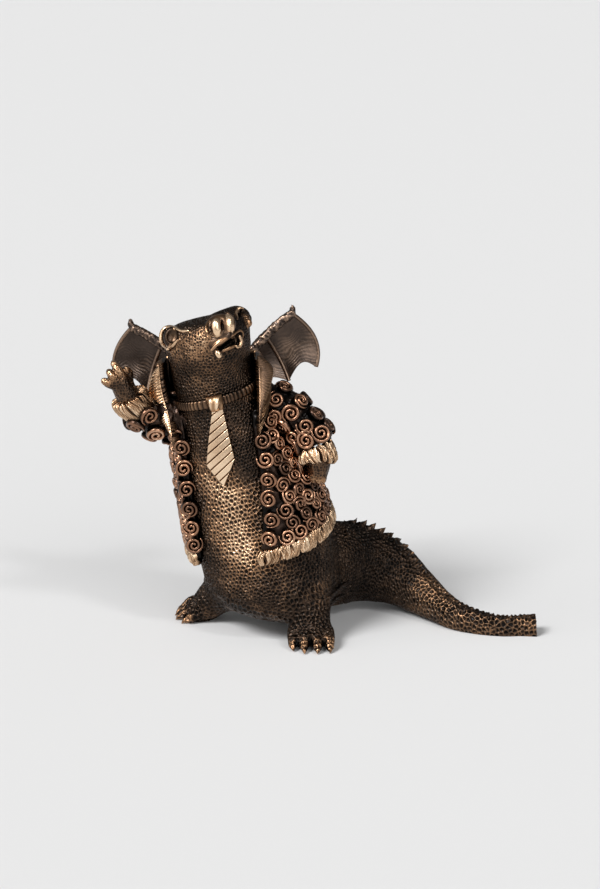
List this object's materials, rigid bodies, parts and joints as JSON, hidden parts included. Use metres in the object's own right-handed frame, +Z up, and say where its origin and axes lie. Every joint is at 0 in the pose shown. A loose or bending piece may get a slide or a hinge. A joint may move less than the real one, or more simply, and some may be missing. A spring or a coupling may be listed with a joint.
{
  "type": "dragon figurine",
  "caption": "Cast bronze figurine of a dragon standing on two short legs and its tail, head thrown back, in an open fleece coat with fur trims and a tie",
  "frame": {"origin": "centre of the bottom of the bounding box, on the surface that the figurine stands on", "axes": "+Z up, +X along the tail (the dragon's left), -Y the side that its chest and face look to"},
  "size_m": [0.1188, 0.0494, 0.0922],
  "materials": {
    "patina": "cast bronze, near-black brown patina, hammered pits",
    "fleece": "cast bronze, dark patina with rubbed coppery high spots on the curls",
    "rubbed": "cast bronze, polished golden where it is rubbed",
    "pin": "turned bronze, hidden inside"
  },
  "bodies": {
    "root": {"trunk": "patina", "head": "patina", "tail": "patina", "right_leg": "patina", "left_leg": "patina", "neckband": "rubbed", "tie_knot": "rubbed", "tie_blade": "rubbed", "coat_back": "fleece", "coat_left_front": "fleece", "coat_right_front": "fleece", "hem_back": "rubbed", "hem_left": "rubbed", "hem_right": "rubbed", "collar_back": "rubbed", "lapel_left": "rubbed", "lapel_right": "rubbed", "right_sleeve": "fleece", "left_sleeve": "fleece", "right_cuff": "rubbed", "left_cuff": "rubbed", "right_paw": "patina", "left_paw": "patina", "right_wing": "patina", "left_wing": "patina", "neck_pin": "pin", "tail_pin": "pin", "right_leg_pin": "pin", "left_leg_pin": "pin"}
  },
  "joints": []
}
